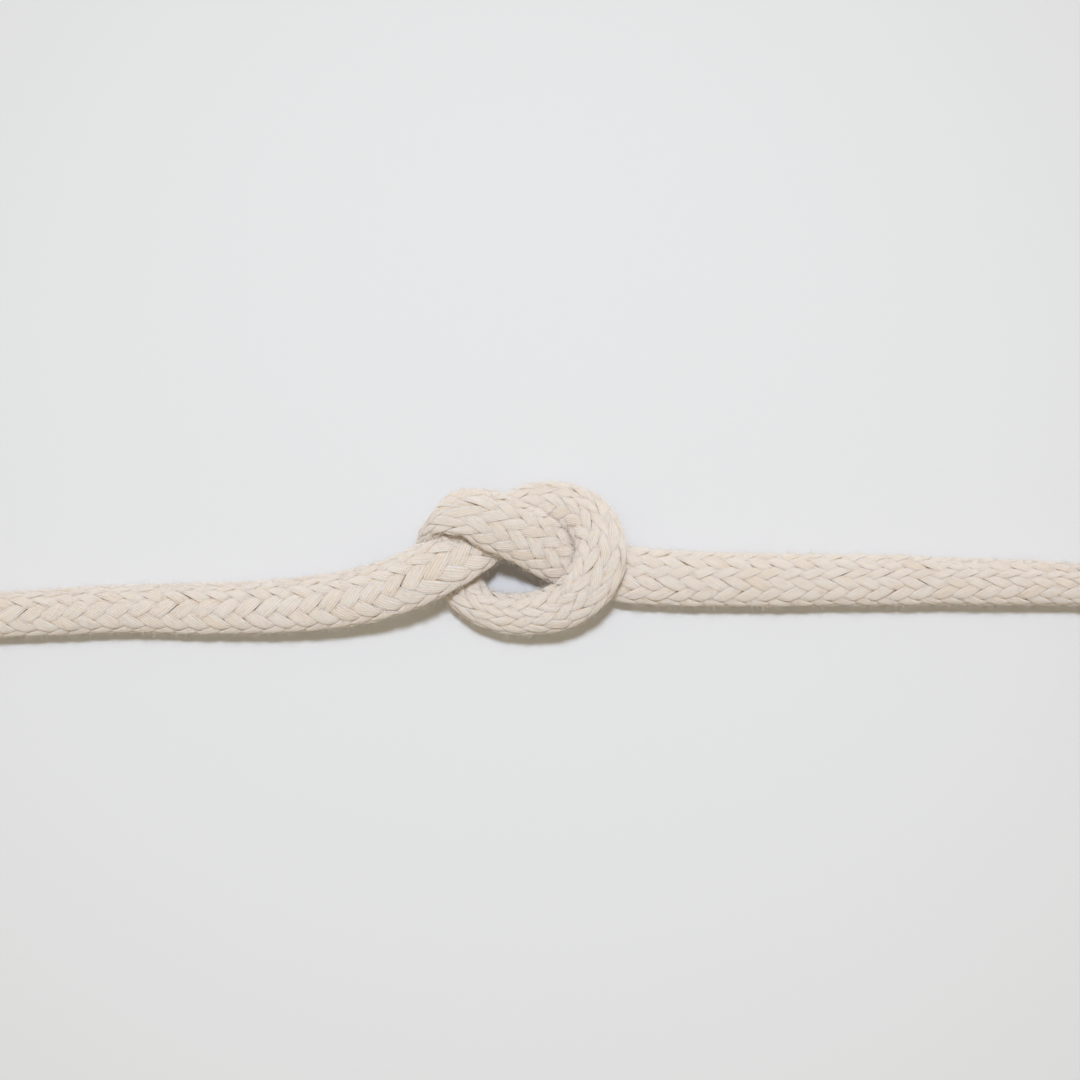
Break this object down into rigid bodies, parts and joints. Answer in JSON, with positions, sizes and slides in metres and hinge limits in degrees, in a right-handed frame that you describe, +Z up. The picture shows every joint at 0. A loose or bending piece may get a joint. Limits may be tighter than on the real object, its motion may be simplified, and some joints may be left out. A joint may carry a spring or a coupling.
{
  "type": "braided cotton dock line",
  "caption": "Braided cotton line with a loose overhand knot, whipped ends, and its spare length put away in a tied hank.",
  "frame": {"origin": "middle of the box, on the surface that the line lies on", "axes": "+X along the line from the whipped end of the run to the hank, +Z up"},
  "size_m": [0.43, 0.075, 0.0422],
  "materials": {
    "cotton": "matte natural cotton braid",
    "core_yarn": "matte loose cotton yarn",
    "twine": "matte waxed cotton twine"
  },
  "bodies": {
    "root": {"cover_run": "cotton", "core_run": "core_yarn", "cover_tail": "cotton", "core_tail": "core_yarn", "stowed_hank": "cotton", "hank_tie": "twine", "run_end_whipping": "twine", "tail_end_whipping": "twine"}
  },
  "joints": []
}
